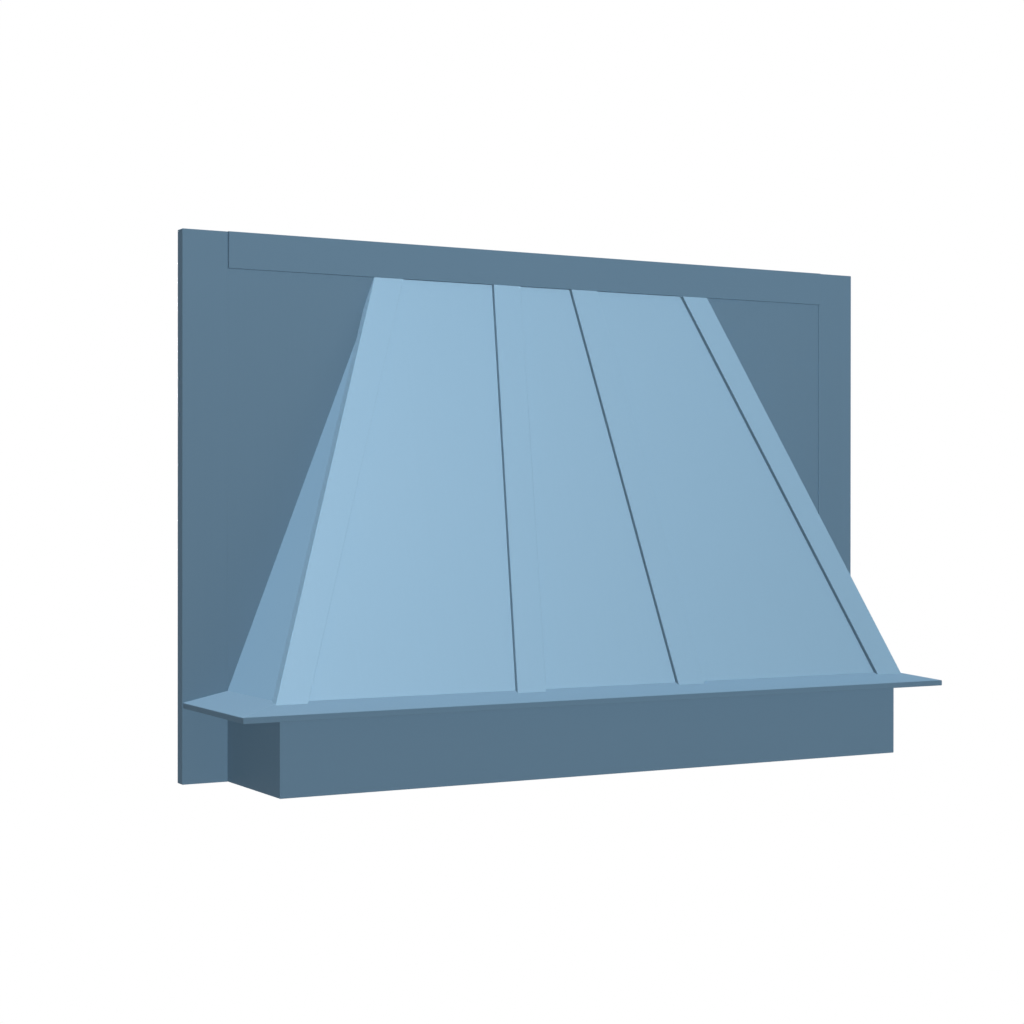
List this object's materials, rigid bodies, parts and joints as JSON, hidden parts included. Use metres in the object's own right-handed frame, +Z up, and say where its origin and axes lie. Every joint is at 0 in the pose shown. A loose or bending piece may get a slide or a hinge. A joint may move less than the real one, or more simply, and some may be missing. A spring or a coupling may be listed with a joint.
{
  "type": "range hood cover",
  "caption": "Painted wooden range hood cover: framed back plate, tapered front with fanned battens, slanting sides, bevelled mitred ledge and an apron that is open below for a vent insert.",
  "frame": {"origin": "middle of the hanging rail's back face, in the plane where the cover meets the wall or the cabinets behind it", "axes": "+X to the right when seen from the front, along the cover's width; +Y back into the wall; +Z up"},
  "size_m": [1.1556, 0.2445, 0.762],
  "materials": {
    "painted_wood": "satin paint, dusty light blue, sprayed over closed-grain wood",
    "bare_wood": "unfinished softwood and plywood",
    "zinc_steel": "zinc plated"
  },
  "bodies": {
    "root": {"left_stile": "painted_wood", "right_stile": "painted_wood", "top_rail": "painted_wood", "left_field_panel": "painted_wood", "right_field_panel": "painted_wood", "apron_front": "painted_wood", "apron_left": "painted_wood", "apron_right": "painted_wood", "ledge_front": "painted_wood", "ledge_left": "painted_wood", "ledge_right": "painted_wood", "side_board_left": "painted_wood", "side_board_right": "painted_wood", "front_sheet": "painted_wood", "batten_1": "painted_wood", "batten_2": "painted_wood", "batten_3": "painted_wood", "batten_4": "painted_wood", "hanging_rail": "bare_wood", "rafter_left": "bare_wood", "rafter_right": "bare_wood", "corner_strip_left": "bare_wood", "corner_strip_right": "bare_wood", "foot_cleat_front": "bare_wood", "foot_cleat_left": "bare_wood", "foot_cleat_right": "bare_wood", "corner_block_left": "bare_wood", "corner_block_right": "bare_wood", "insert_rail_front": "bare_wood", "insert_rail_left": "bare_wood", "insert_rail_right": "bare_wood", "frame_screw_left_lower": "zinc_steel", "frame_screw_left_upper": "zinc_steel", "frame_screw_right_lower": "zinc_steel", "frame_screw_right_upper": "zinc_steel", "hanging_screw_left_lower": "zinc_steel", "hanging_screw_left_upper": "zinc_steel", "hanging_screw_right_lower": "zinc_steel", "hanging_screw_right_upper": "zinc_steel", "insert_screw_left_front": "zinc_steel", "insert_screw_left_back": "zinc_steel", "insert_screw_right_front": "zinc_steel", "insert_screw_right_back": "zinc_steel", "insert_screw_front_1": "zinc_steel", "insert_screw_front_2": "zinc_steel", "insert_screw_front_3": "zinc_steel"}
  },
  "joints": []
}
